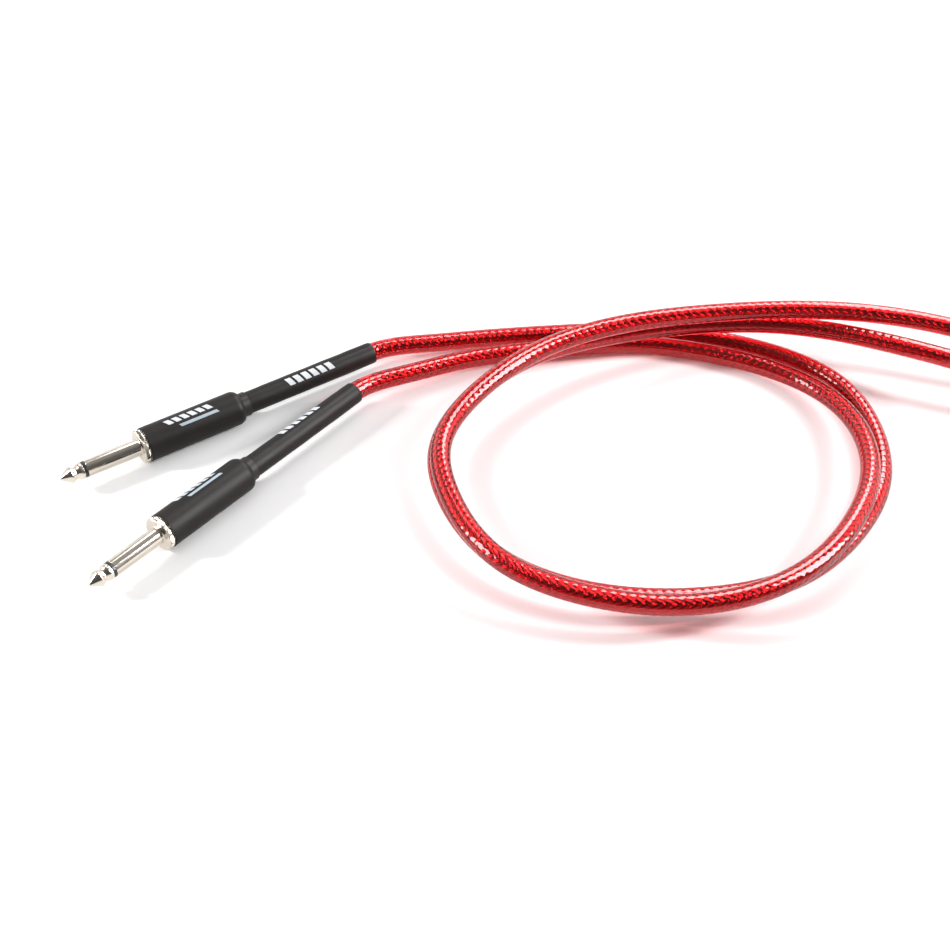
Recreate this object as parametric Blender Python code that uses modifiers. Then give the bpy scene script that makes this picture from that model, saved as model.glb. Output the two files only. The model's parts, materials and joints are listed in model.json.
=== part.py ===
"""Instrument cable: two straight 6.35 mm mono plugs on one shielded cable.

The cable is folded in two. From the plugs both strands run round one loop,
cross over their own leads, and end in a second ring with a small open fold.
Blender 4.5, units in the scene are metres, +Z is up, the table is z = 0.
Sizes below are in millimetres and are scaled by MM where meshes are made.
"""

import math

import bmesh
import bpy
import numpy as np
from mathutils import Matrix, Vector

MM = 0.001

# ---------------------------------------------------------------- cable
CABLE_R = 3.7            # outside of the transparent jacket
JACKET_BORE_R = 2.55
BRAID_R = 2.45
BRAID_BORE_R = 2.0
CORE_R = 1.9             # insulation round the conductor
CORE_BORE_R = 0.6
CONDUCTOR_R = 0.5
COIL_CORE_R = 2.25       # shield and core as one solid along the coil

# ---------------------------------------------------------------- plug, along its axis from the tip
TIP_CONE_R = 3.1
TIP_CONE_END = 3.7
TIP_NECK_R = 2.35
TIP_NECK_AT = 5.9
TIP_COLLAR_R = 3.12
TIP_COLLAR_START = 7.2
TIP_END = 8.6
RING_START = 8.7
RING_END = 9.8
SLEEVE_START = 9.9
SLEEVE_R = 3.175         # standard 6.35 mm plug
FLANGE_START = 31.0
FLANGE_END = 33.0
FLANGE_R = 6.4
BOSS_END = 39.5
BOSS_R = 5.0
THREAD_DEPTH = 0.35
THREAD_PITCH = 1.0
ROD_R = 1.0              # the tip's rod runs back through the sleeve to its lug
ROD_HEAD_R = 1.6
ROD_HEAD_START = 43.2
ROD_END = 43.9
BUSH_BORE_R = 1.15
INSULATOR_R = 2.0
INSULATOR_END = 33.5
SLEEVE_BORE_R = 2.15
POCKET_R = 2.9           # wider bore inside the boss, for the rear insulator
POCKET_START = 33.8
REAR_BUSH_R = 2.75
REAR_BUSH_START = 34.0
REAR_RIM_R = 3.6
REAR_RIM_START = 41.1
REAR_RIM_END = 42.0
SHELL_START = 33.3
SHELL_R = 6.2
SHELL_BORE_R = 5.5
SHELL_THREAD_R = 5.15    # bore at the front, over the boss
SHOULDER_START = 70.4
SHOULDER_R = 3.0
SHOULDER_TURN = 41.8     # degrees of the rounded shoulder
SHELL_END = 72.4
SHELL_REAR_WALL = 1.5
REAR_HOLE_R = 5.15
COVER_GAP = 0.08
COVER_WALL = 0.34
LINER_R = 5.3            # insulating tube inside the shell
LINER_BORE_R = 5.05
LINER_START = 41.5
LINER_END = 63.4
NECK_R = 4.75            # bush round the boot, behind the shell
NECK_BORE_R = 4.52
NECK_RIM_R = 5.3
NECK_RIM_START = 69.7
NECK_RIM_END = 70.6
NECK_END = 76.0
BOOT_START = 66.0
BOOT_END = 132.0
BOOT_R = 4.3
BOOT_BORE_R = 3.8
JACKET_CUT = 58.0
BRAID_CUT = 55.5
CORE_CUT = 52.0
CONDUCTOR_CUT = 47.7

# ---------------------------------------------------------------- lugs and solder inside the barrel
LUG_RING = (2.95, 4.6, 39.8, 40.7)           # inner radius, outer radius, front, back
LUG_STRIP = ((-1.6, -4.55, -64.0), (1.6, -4.0, -40.1))
LUG_WINGS = (3.9, 4.45, 59.0, 63.8)
LUG_WINGS_FROM = 150.0   # degrees round the axis
LUG_WINGS_SWEEP = 240.0
TIP_LUG_RING = (1.2, 2.7, 42.3, 43.0)
TIP_LUG_TAB = ((-1.2, 1.95, -51.0), (1.2, 2.5, -42.4))
TIP_LUG_EYE = (0.0, 2.2, -49.6)
TIP_LUG_EYE_R = 0.55
TIP_LUG_EYE_DEPTH = 3.0
SOLDER_TIP = ((0.0, 1.25, -49.4), (0.9, 0.5, 1.5))       # centre, half sizes
SOLDER_GROUND = ((0.0, -3.4, -48.5), (1.1, 0.5, 1.6))
SHIELD_TAIL = ((0.0, -2.15, -55.1), (0.0, -2.5, -53.8), (0.0, -3.2, -52.2), (0.0, -3.45, -50.4))
SHIELD_TAIL_R = 0.45

# ---------------------------------------------------------------- flex joints in the cable
FLEX_AT = 138.5          # distance from the tip; the cable flexes here, just past the boot
BALL_R = CABLE_R         # the moving end is a ball about the pivot
SOCKET_R = CABLE_R + 0.3
SOCKET_CUT_R = SOCKET_R + 0.08   # the coil's facets are cut a little wider

# ---------------------------------------------------------------- the lay of the cable on the table
PLUG_HEIGHT = 6.62       # axis height of a barrel that rests on the table
PLUG_A_TIP = (-149.8, -9.6)
PLUG_A_HEADING = 34.7    # degrees from +X, from tip to boot
PLUG_B_TIP = (-129.3, -62.6)
PLUG_B_HEADING = 51.2
PIVOT_HEIGHT = 4.3
LEAD_A_PIVOT = (2.0, 77.7, PIVOT_HEIGHT)
LEAD_B_PIVOT = (-5.5, 63.4, PIVOT_HEIGHT)
TABLE_CENTRE = (127.2, -37.9)    # middle of the laid-out cable, taken as the origin

FIRST_LOOP_UNDER = [
    (35, 81.7, 4.0), (68, 83.0, 3.9), (98, 77.5, 3.9), (124, 66, 3.9), (142, 49, 3.9),
    (150, 24, 3.9), (148, -6, 4.2), (132.5, -36, 5.2), (107, -60, 7.0), (74, -70.5, 8.8),
    (38, -68, 9.0), (7.5, -51, 8.5), (-9, -24, 8.3), (-13.5, 5, 8.3), (-2, 32.5, 9.7),
    (21, 55, 11.8), (54, 69, 12.3), (90, 75.5, 12.9), (127, 73, 14.2), (161, 57, 17.8),
]
FIRST_LOOP_OVER = [
    (30, 71.5, 4.0), (61, 74.6, 4.0), (90, 69.5, 4.1), (116, 58, 4.6), (134.5, 40, 6.4),
    (143, 15, 9.5), (141.5, -12, 11.8), (130, -39, 13.5), (109.5, -63, 14.0), (78, -77, 13.8),
    (41, -75.5, 14.2), (8, -58.5, 15.2), (-8.5, -29, 16.0), (-11.8, 0, 16.4), (2, 28, 17.9),
    (26.5, 51.5, 19.4), (59.5, 66.5, 20.2), (96, 72.5, 21.0), (133, 71.8, 22.9), (170, 66, 22.8),
]
RING_CENTRE = (313.0, -71.0)
RING_UNDER_R = 79.0
RING_OVER_R = 88.0
RING_ANGLES = (100, 80, 50, 20, -20, -60, -100, -140)
REST_HEIGHT = 4.0
TO_RING_UNDER = [(196, 40.5, 17.0), (232, 26, 10.5), (266, 14, 5.4)]
TO_RING_OVER = [(204, 55.5, 19.6), (238, 41.5, 12.0), (268, 26.5, 5.8)]
FOLD_OVER = [(226, -80), (229, -50), (246, -25), (271, -14), (296, -13), (315, -22)]
FOLD_TURN = [(322, -42)]
FOLD_UNDER = [
    (243.5, -106), (241.5, -92), (247, -79.5), (259, -72), (275, -69.5), (295, -68), (313, -60),
]

RING_BEND = math.radians(11.0)   # bend allowed between two rings of the coil mesh
RING_SPACING = 26.0
LAST_RING_GAP = 4.0              # a ring closer than this to the end is dropped
STEPS_PER_SPAN = 24
WELD = 0.000001                  # merge distance in metres

COLOURS = {
    "nickel": ((0.66, 0.63, 0.58), 0.24, 1.0),
    "black_ring": ((0.012, 0.012, 0.012), 0.35, 0.0),
    "heat_shrink": ((0.030, 0.028, 0.027), 0.58, 0.0),
    "brass": ((0.62, 0.47, 0.22), 0.35, 1.0),
    "solder": ((0.62, 0.62, 0.64), 0.30, 1.0),
    "tinned_copper": ((0.58, 0.50, 0.44), 0.40, 1.0),
    "red_jacket": ((0.62, 0.010, 0.014), 0.12, 0.0),
    "braid": ((0.70, 0.42, 0.38), 0.30, 1.0),
    "dielectric": ((0.80, 0.78, 0.72), 0.45, 0.0),
    "liner": ((0.55, 0.57, 0.55), 0.40, 0.0),
}


# ---------------------------------------------------------------- scene set-up
def clear_scene():
    for obj in list(bpy.data.objects):
        bpy.data.objects.remove(obj, do_unlink=True)


def collection(name):
    made = bpy.data.collections.new(name)
    bpy.context.scene.collection.children.link(made)
    return made


def material(name):
    colour, roughness, metallic = COLOURS[name]
    made = bpy.data.materials.get(name) or bpy.data.materials.new(name)
    made.use_nodes = True
    shader = made.node_tree.nodes["Principled BSDF"]
    shader.inputs["Base Color"].default_value = (*colour, 1.0)
    shader.inputs["Roughness"].default_value = roughness
    shader.inputs["Metallic"].default_value = metallic
    return made


def add_object(name, mesh, matrix, finish, parent=None, where=None):
    obj = bpy.data.objects.new(name, mesh)
    (where or PARTS).objects.link(obj)
    mesh.materials.append(finish)
    place(obj, matrix, parent)
    return obj


def place(obj, matrix, parent):
    if parent:
        obj.parent = parent
        obj.matrix_parent_inverse = parent.matrix_basis.inverted()
    obj.matrix_basis = matrix


def pivot_empty(name, point):
    """An empty on a joint's axis; the pieces that move about it are its children."""
    empty = bpy.data.objects.new(name, None)
    empty.empty_display_size = 0.01
    PARTS.objects.link(empty)
    empty.matrix_basis = Matrix.Translation(point)
    return empty


# ---------------------------------------------------------------- shapes
def turned(name, profile, segments, matrix, finish, parent=None):
    """A turned piece. The profile is (radius, distance from the tip), down the outer side."""
    mesh = bpy.data.meshes.new(name)
    shape = bmesh.new()
    points = [shape.verts.new((radius * MM, 0.0, -along * MM)) for radius, along in profile]
    for first, second in zip(points, points[1:]):
        shape.edges.new((first, second))
    on_axis = profile[0][0] == 0.0 and profile[-1][0] == 0.0
    if not on_axis:
        shape.edges.new((points[-1], points[0]))
    shape.to_mesh(mesh)
    shape.free()
    obj = add_object(name, mesh, matrix, finish, parent)
    screw = obj.modifiers.new("turn", "SCREW")
    screw.steps = segments
    screw.render_steps = segments
    screw.use_merge_vertices = True
    screw.merge_threshold = WELD
    screw.use_smooth_shade = True
    return obj


def arc(centre, radius, start, end, count):
    """Points of an arc in a profile; angle 0 is outward, 90 degrees is toward the boot."""
    angles = [math.radians(start + (end - start) * k / count) for k in range(count + 1)]
    return [(centre[0] + radius * math.cos(a), centre[1] + radius * math.sin(a)) for a in angles]


def box_mesh(name, low, high):
    """A box between two corners, in the plug's own axes."""
    mesh = bpy.data.meshes.new(name)
    shape = bmesh.new()
    bmesh.ops.create_cube(shape, size=1.0)
    size = [(b - a) * MM for a, b in zip(low, high)]
    middle = [(a + b) * 0.5 * MM for a, b in zip(low, high)]
    bmesh.ops.scale(shape, vec=size, verts=shape.verts)
    bmesh.ops.translate(shape, vec=middle, verts=shape.verts)
    shape.to_mesh(mesh)
    shape.free()
    return mesh


def ring_mesh(name, inner, outer, top, bottom, segments, start=0.0, sweep=360.0):
    """A ring, or part of one, round the plug's axis, made as an extruded section."""
    mesh = bpy.data.meshes.new(name)
    shape = bmesh.new()
    whole = sweep >= 360.0
    count = segments if whole else segments + 1
    rims = []
    for radius, along in ((outer, top), (outer, bottom), (inner, bottom), (inner, top)):
        rim = []
        for k in range(count):
            angle = math.radians(start + sweep * k / segments)
            across = radius * MM * math.cos(angle)
            upward = radius * MM * math.sin(angle)
            rim.append(shape.verts.new((across, upward, -along * MM)))
        rims.append(rim)
    for side in range(4):
        this, following = rims[side], rims[(side + 1) % 4]
        for k in range(segments):
            nxt = (k + 1) % count
            shape.faces.new((this[k], following[k], following[nxt], this[nxt]))
    if not whole:
        shape.faces.new([rim[0] for rim in rims])
        shape.faces.new([rim[-1] for rim in rims])
    bmesh.ops.recalc_face_normals(shape, faces=shape.faces)
    shape.to_mesh(mesh)
    shape.free()
    return mesh


def cutter(name, mesh, matrix):
    obj = add_object(name, mesh, matrix, material("liner"), where=CUTTERS)
    obj.hide_render = True
    obj.display_type = "WIRE"
    return obj


def boolean(obj, other, operation):
    modifier = obj.modifiers.new(operation.lower(), "BOOLEAN")
    modifier.operation = operation
    modifier.solver = "EXACT"
    modifier.object = other


def tube(name, path, radius, ring_resolution, caps, matrix, finish, parent=None):
    """A round tube along a path of points in millimetres, made as a bevelled curve."""
    data = bpy.data.curves.new(name + "_curve", "CURVE")
    data.dimensions = "3D"
    data.bevel_depth = radius * MM
    data.bevel_resolution = ring_resolution
    data.use_fill_caps = caps
    spline = data.splines.new("POLY")
    spline.points.add(len(path) - 1)
    for target, point in zip(spline.points, path):
        target.co = (point[0] * MM, point[1] * MM, point[2] * MM, 1.0)
    guide = bpy.data.objects.new(name + "_curve", data)
    PARTS.objects.link(guide)
    graph = bpy.context.evaluated_depsgraph_get()
    mesh = bpy.data.meshes.new_from_object(guide.evaluated_get(graph))
    bpy.data.objects.remove(guide, do_unlink=True)
    shape = bmesh.new()
    shape.from_mesh(mesh)
    bmesh.ops.remove_doubles(shape, verts=shape.verts, dist=WELD)
    bmesh.ops.recalc_face_normals(shape, faces=shape.faces)
    shape.to_mesh(mesh)
    shape.free()
    mesh.shade_smooth()
    mesh.materials.clear()
    return add_object(name, mesh, matrix, finish, parent)


# ---------------------------------------------------------------- frames
def plug_matrix(tip, heading):
    """Own +Z points out of the tip, own +Y is up, and the origin is the tip."""
    along = math.radians(heading)
    toward_tip = Vector((-math.cos(along), -math.sin(along), 0.0))
    return axis_matrix(Vector((*tip, PLUG_HEIGHT)) - table_shift(), toward_tip)


def axis_matrix(origin, own_z):
    up = Vector((0.0, 0.0, 1.0))
    own_x = up.cross(own_z).normalized()
    own_y = own_z.cross(own_x).normalized()
    turn = Matrix((own_x, own_y, own_z)).transposed().to_4x4()
    return Matrix.Translation(origin * MM) @ turn


def table_shift():
    return Vector((*TABLE_CENTRE, 0.0))


# ---------------------------------------------------------------- cable layers with flexing ends
def ball_end(inner, outer, pivot):
    return [(r, pivot + math.sqrt(max(BALL_R ** 2 - r ** 2, 0.0))) for r in rim_radii(inner, outer)]


def socket_end(inner, outer, pivot):
    return [(r, pivot + math.sqrt(SOCKET_R ** 2 - r ** 2)) for r in rim_radii(outer, inner)]


def rim_radii(inner, outer):
    """Radii across a layer's end face, from outside to inside (or the reverse)."""
    steps = 3 if outer - inner > 1.0 else 1
    return [outer + (inner - outer) * k / steps for k in range(steps + 1)]


LAYERS = (
    ("jacket", JACKET_BORE_R, CABLE_R, JACKET_CUT, "red_jacket", 12),
    ("braid", BRAID_BORE_R, BRAID_R, BRAID_CUT, "braid", 12),
    ("core", CORE_BORE_R, CORE_R, CORE_CUT, "dielectric", 8),
    ("conductor", 0.0, CONDUCTOR_R, CONDUCTOR_CUT, "tinned_copper", 6),
)


def plug_cable_end(side, matrix, parent):
    """The four cable layers inside the plug and boot, up to the flex point."""
    for layer, inner, outer, cut, finish, segments in LAYERS:
        profile = [(outer, cut)] + ball_end(inner, outer, FLEX_AT)
        profile += [(inner, cut)] if inner else []
        if not inner:
            profile = [(0.0, cut)] + profile
        turned(f"{layer}_end_{side}", profile, segments, matrix, material(finish), parent)


def lead_cable(side, matrix, length, parent):
    """The four cable layers of the short lead between the two flex points."""
    for layer, inner, outer, _, finish, segments in LAYERS:
        profile = socket_end(inner, outer, 0.0) + ball_end(inner, outer, length)
        turned(f"{layer}_lead_{side}", profile, segments, matrix, material(finish), parent)


# ---------------------------------------------------------------- the plug
def tip_contact(side, matrix, parent):
    """Cone, neck and collar, with the rod that runs back to the tip's lug."""
    profile = [(0.0, 0.0), (0.5, 0.1), (0.9, 0.5)]
    profile += [(TIP_CONE_R, TIP_CONE_END), (TIP_CONE_R, TIP_CONE_END + 0.5)]
    profile += [(TIP_NECK_R, TIP_NECK_AT - 0.3), (TIP_NECK_R, TIP_NECK_AT + 0.1)]
    profile += [(TIP_COLLAR_R - 0.1, TIP_COLLAR_START), (TIP_COLLAR_R, TIP_COLLAR_START + 0.3)]
    profile += [(TIP_COLLAR_R, TIP_END), (ROD_R, TIP_END), (ROD_R, ROD_HEAD_START)]
    profile += [(ROD_HEAD_R, ROD_HEAD_START), (ROD_HEAD_R, ROD_END - 0.2), (1.2, ROD_END), (0.0, ROD_END)]
    turned(f"tip_contact_{side}", profile, 20, matrix, material("nickel"), parent)


def tip_insulator(side, matrix, parent):
    profile = [(BUSH_BORE_R, RING_START), (TIP_COLLAR_R, RING_START), (TIP_COLLAR_R, RING_END)]
    profile += [(INSULATOR_R, RING_END), (INSULATOR_R, INSULATOR_END), (BUSH_BORE_R, INSULATOR_END)]
    turned(f"tip_insulator_{side}", profile, 20, matrix, material("black_ring"), parent)


def sleeve(side, matrix, parent):
    """Shaft, knurled flange and threaded boss, with the bore for the tip's rod."""
    chamfer = 0.3
    root = BOSS_R - THREAD_DEPTH
    profile = [(SLEEVE_BORE_R, SLEEVE_START), (SLEEVE_R - 0.1, SLEEVE_START)]
    profile += [(SLEEVE_R, SLEEVE_START + 0.15), (SLEEVE_R, FLANGE_START)]
    profile += [(FLANGE_R - chamfer, FLANGE_START), (FLANGE_R, FLANGE_START + chamfer)]
    profile += [(FLANGE_R, FLANGE_END - chamfer), (FLANGE_R - chamfer, FLANGE_END)]
    crest = FLANGE_END + 0.6
    while crest + THREAD_PITCH < BOSS_END:
        profile += [(root, crest - 0.5), (BOSS_R, crest)]
        crest += THREAD_PITCH * 2.0
    profile += [(BOSS_R, BOSS_END - 0.4), (root, BOSS_END), (POCKET_R, BOSS_END)]
    profile += [(POCKET_R, POCKET_START), (SLEEVE_BORE_R, POCKET_START)]
    turned(f"sleeve_{side}", profile, 24, matrix, material("nickel"), parent)


def rear_insulator(side, matrix, parent):
    """Stepped bush in the back of the boss, round the tip's rod."""
    profile = [(BUSH_BORE_R, REAR_BUSH_START), (REAR_BUSH_R, REAR_BUSH_START), (REAR_BUSH_R, REAR_RIM_START)]
    profile += [(REAR_RIM_R, REAR_RIM_START), (REAR_RIM_R, REAR_RIM_END), (BUSH_BORE_R, REAR_RIM_END)]
    turned(f"rear_insulator_{side}", profile, 14, matrix, material("black_ring"), parent)


def ground_lug(side, matrix, parent):
    """Ring under the boss, a strip along the bottom and two wings round the cable."""
    ring = ring_mesh("lug_ring", *LUG_RING, 16)
    lug = add_object(f"ground_lug_{side}", ring, matrix, material("brass"), parent)
    strip = box_mesh("lug_strip", *LUG_STRIP)
    boolean(lug, cutter(f"lug_strip_{side}", strip, matrix), "UNION")
    wings = ring_mesh("lug_wings", *LUG_WINGS, 10, LUG_WINGS_FROM, LUG_WINGS_SWEEP)
    boolean(lug, cutter(f"lug_wings_{side}", wings, matrix), "UNION")


def tip_lug(side, matrix, parent):
    """Ring on the tip's rod with a tab, drilled for the conductor."""
    ring = ring_mesh("tip_ring", *TIP_LUG_RING, 12)
    lug = add_object(f"tip_lug_{side}", ring, matrix, material("brass"), parent)
    tab = box_mesh("tip_tab", *TIP_LUG_TAB)
    boolean(lug, cutter(f"tip_tab_{side}", tab, matrix), "UNION")
    boolean(lug, cutter(f"tip_eye_{side}", eye_mesh(), matrix), "DIFFERENCE")


def eye_mesh():
    """A short upright cylinder, for the hole in the tip's lug."""
    mesh = bpy.data.meshes.new("tip_eye")
    shape = bmesh.new()
    radius = TIP_LUG_EYE_R * MM
    depth = TIP_LUG_EYE_DEPTH * MM
    bmesh.ops.create_cone(shape, cap_ends=True, segments=10, radius1=radius, radius2=radius, depth=depth)
    bmesh.ops.rotate(shape, matrix=Matrix.Rotation(math.radians(90.0), 3, "X"), verts=shape.verts)
    bmesh.ops.translate(shape, vec=[value * MM for value in TIP_LUG_EYE], verts=shape.verts)
    shape.to_mesh(mesh)
    shape.free()
    return mesh


def solder(name, centre, radii, matrix, parent):
    mesh = bpy.data.meshes.new(name)
    shape = bmesh.new()
    bmesh.ops.create_uvsphere(shape, u_segments=10, v_segments=6, radius=MM)
    bmesh.ops.scale(shape, vec=radii, verts=shape.verts)
    bmesh.ops.translate(shape, vec=[value * MM for value in centre], verts=shape.verts)
    shape.to_mesh(mesh)
    shape.free()
    mesh.shade_smooth()
    add_object(name, mesh, matrix, material("solder"), parent)


def shield_tail(side, matrix, parent):
    """The shield's wires gathered into one strand down to the ground lug."""
    finish = material("tinned_copper")
    tube(f"shield_tail_{side}", SHIELD_TAIL, SHIELD_TAIL_R, 1, True, matrix, finish, parent)


def boot(side, matrix, parent):
    profile = [(BOOT_BORE_R, BOOT_START), (BOOT_R, BOOT_START), (BOOT_R, BOOT_END - 0.35)]
    profile += [(BOOT_R - 0.2, BOOT_END), (BOOT_BORE_R, BOOT_END)]
    turned(f"boot_{side}", profile, 16, matrix, material("heat_shrink"), parent)


def rear_bush(side, matrix, parent):
    """Bush on the boot, with a rim that the shell's rear wall bears on."""
    profile = [(NECK_BORE_R, NECK_RIM_START), (NECK_RIM_R, NECK_RIM_START), (NECK_RIM_R, NECK_RIM_END)]
    profile += [(NECK_R, NECK_RIM_END), (NECK_R, NECK_END - 0.3)]
    profile += [(NECK_R - 0.1, NECK_END), (NECK_BORE_R, NECK_END)]
    turned(f"rear_bush_{side}", profile, 20, matrix, material("heat_shrink"), parent)


def liner(side, matrix, parent):
    profile = [(LINER_BORE_R, LINER_START), (LINER_R, LINER_START)]
    profile += [(LINER_R, LINER_END), (LINER_BORE_R, LINER_END)]
    turned(f"liner_{side}", profile, 20, matrix, material("liner"), parent)


def shell(side, matrix, parent):
    centre = (SHELL_R - SHOULDER_R, SHOULDER_START)
    wall = SHELL_END - SHELL_REAR_WALL
    profile = [(SHELL_THREAD_R, SHELL_START), (SHELL_R, SHELL_START)]
    profile += arc(centre, SHOULDER_R, 0.0, SHOULDER_TURN, 4)
    profile += [(REAR_HOLE_R, SHELL_END), (REAR_HOLE_R, wall), (SHELL_BORE_R, wall)]
    profile += [(SHELL_BORE_R, BOSS_END + 0.4), (SHELL_THREAD_R, BOSS_END)]
    turned(f"shell_{side}", profile, 24, matrix, material("brass"), parent)


def shell_cover(side, matrix, parent):
    """Heat-shrink skin over the shell, drawn in over its rounded shoulder."""
    centre = (SHELL_R - SHOULDER_R, SHOULDER_START)
    inside = SHOULDER_R + COVER_GAP
    outside = inside + COVER_WALL
    hole = REAR_HOLE_R + 0.05
    profile = [(SHELL_R + COVER_GAP, SHELL_START), (SHELL_R + COVER_GAP + COVER_WALL - 0.1, SHELL_START)]
    profile += arc(centre, outside, 0.0, SHOULDER_TURN + 4.2, 4)
    profile += [(hole, SHELL_END + 0.5), (hole, SHELL_END + COVER_GAP)]
    profile += [(SHELL_R - 0.8, SHELL_END + COVER_GAP)]
    profile += arc(centre, inside, SHOULDER_TURN - 3.8, 0.0, 3)
    turned(f"shell_cover_{side}", profile, 24, matrix, material("heat_shrink"), parent)


def plug(side, tip, heading, lead_pivot):
    """One plug with its cable end and the lead behind it, parented to their joints' axes."""
    matrix = plug_matrix(tip, heading)
    flex_point = matrix @ Vector((0.0, 0.0, -FLEX_AT * MM))
    swing_point = (Vector(lead_pivot) - table_shift()) * MM
    swing = pivot_empty(f"swing_axis_{side}", swing_point)
    lift = pivot_empty(f"lift_axis_{side}", flex_point)
    place(lift, Matrix.Translation(flex_point), swing)

    lead = flex_point - swing_point
    lead_cable(side, axis_matrix(flex_point / MM, lead.normalized()), lead.length / MM, swing)

    place_in_plug = (matrix, lift)
    tip_contact(side, *place_in_plug)
    tip_insulator(side, *place_in_plug)
    sleeve(side, *place_in_plug)
    rear_insulator(side, *place_in_plug)
    ground_lug(side, *place_in_plug)
    tip_lug(side, *place_in_plug)
    solder(f"solder_tip_{side}", *SOLDER_TIP, *place_in_plug)
    solder(f"solder_ground_{side}", *SOLDER_GROUND, *place_in_plug)
    shield_tail(side, *place_in_plug)
    plug_cable_end(side, *place_in_plug)
    boot(side, *place_in_plug)

    rear_bush(side, *place_in_plug)
    liner(side, *place_in_plug)
    turn = pivot_empty(f"turn_axis_{side}", flex_point)
    place(turn, matrix, lift)
    shell(side, matrix, turn)
    shell_cover(side, matrix, turn)


# ---------------------------------------------------------------- the coil
def ring_points(radius):
    """Waypoints of the second ring, clockwise from its top."""
    angles = [math.radians(a) for a in RING_ANGLES]
    x, y = RING_CENTRE
    return [(x + radius * math.cos(a), y + radius * math.sin(a), REST_HEIGHT) for a in angles]


def on_table(points):
    return [(x, y, REST_HEIGHT) for x, y in points]


def coil_waypoints():
    """From the first lead's pivot through the under strand, the fold and back along the over strand."""
    under = [LEAD_A_PIVOT] + FIRST_LOOP_UNDER + TO_RING_UNDER
    under += ring_points(RING_UNDER_R) + on_table(FOLD_UNDER)
    over = [LEAD_B_PIVOT] + FIRST_LOOP_OVER + TO_RING_OVER
    over += ring_points(RING_OVER_R) + on_table(FOLD_OVER)
    return np.array(under + on_table(FOLD_TURN) + over[::-1], dtype=float)


def spline_through(points, per_span):
    """A natural cubic spline through the waypoints, in even steps of each span."""
    spans = np.linalg.norm(np.diff(points, axis=0), axis=1)
    count = len(points)
    system = np.eye(count)
    slopes = np.zeros((count, 3))
    for k in range(1, count - 1):
        system[k, k - 1:k + 2] = (spans[k - 1], 2.0 * (spans[k - 1] + spans[k]), spans[k])
        after = (points[k + 1] - points[k]) / spans[k]
        before = (points[k] - points[k - 1]) / spans[k - 1]
        slopes[k] = 6.0 * (after - before)
    bend = np.linalg.solve(system, slopes)
    path = []
    for k, span in enumerate(spans):
        linear = (points[k + 1] - points[k]) / span - span * (2.0 * bend[k] + bend[k + 1]) / 6.0
        cubic = (bend[k + 1] - bend[k]) / (6.0 * span)
        for step in range(per_span):
            t = span * step / per_span
            path.append(points[k] + t * linear + t * t * bend[k] / 2.0 + t ** 3 * cubic)
    path.append(points[-1])
    return np.array(path)


def thin_path(path):
    """Keep a point wherever the path has bent or run on far enough since the last one."""
    step = np.diff(path, axis=0)
    length = np.linalg.norm(step, axis=1)
    heading = step / length[:, None]
    kept = [path[0]]
    bent = 0.0
    run = 0.0
    for k in range(1, len(path) - 1):
        run += length[k - 1]
        bent += math.acos(min(1.0, float(np.dot(heading[k - 1], heading[k]))))
        if bent >= RING_BEND or run >= RING_SPACING:
            kept.append(path[k])
            bent = 0.0
            run = 0.0
    if run < LAST_RING_GAP:
        kept.pop()
    kept.append(path[-1])
    return kept


def coil():
    """The long jacket and, as one solid, the shield and core inside it."""
    shift = np.array(table_shift())
    path = thin_path(spline_through(coil_waypoints() - shift, STEPS_PER_SPAN))
    here = Matrix.Identity(4)
    jacket = tube("jacket_coil", path, CABLE_R, 2, False, here, material("red_jacket"))
    wall = jacket.modifiers.new("wall", "SOLIDIFY")
    wall.thickness = (CABLE_R - JACKET_BORE_R) * MM
    wall.offset = -1.0
    core = tube("shielded_core_coil", path, COIL_CORE_R, 1, True, here, material("braid"))
    for side, pivot in (("a", LEAD_A_PIVOT), ("b", LEAD_B_PIVOT)):
        place_at = Matrix.Translation((Vector(pivot) - table_shift()) * MM)
        socket = cutter(f"socket_{side}", socket_mesh(), place_at)
        boolean(jacket, socket, "DIFFERENCE")
        boolean(core, socket, "DIFFERENCE")


def socket_mesh():
    """The ball cut out of each end of the coil, where a lead's end turns."""
    mesh = bpy.data.meshes.new("socket")
    shape = bmesh.new()
    bmesh.ops.create_uvsphere(shape, u_segments=20, v_segments=12, radius=SOCKET_CUT_R * MM)
    shape.to_mesh(mesh)
    shape.free()
    return mesh


clear_scene()
PARTS = collection("instrument_cable")
CUTTERS = collection("cutters")
plug("a", PLUG_A_TIP, PLUG_A_HEADING, LEAD_A_PIVOT)
plug("b", PLUG_B_TIP, PLUG_B_HEADING, LEAD_B_PIVOT)
coil()
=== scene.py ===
"""Looks for the instrument cable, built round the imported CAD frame."""

import json
import math

import bpy
import numpy as np
from mathutils import Matrix, Vector


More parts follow.
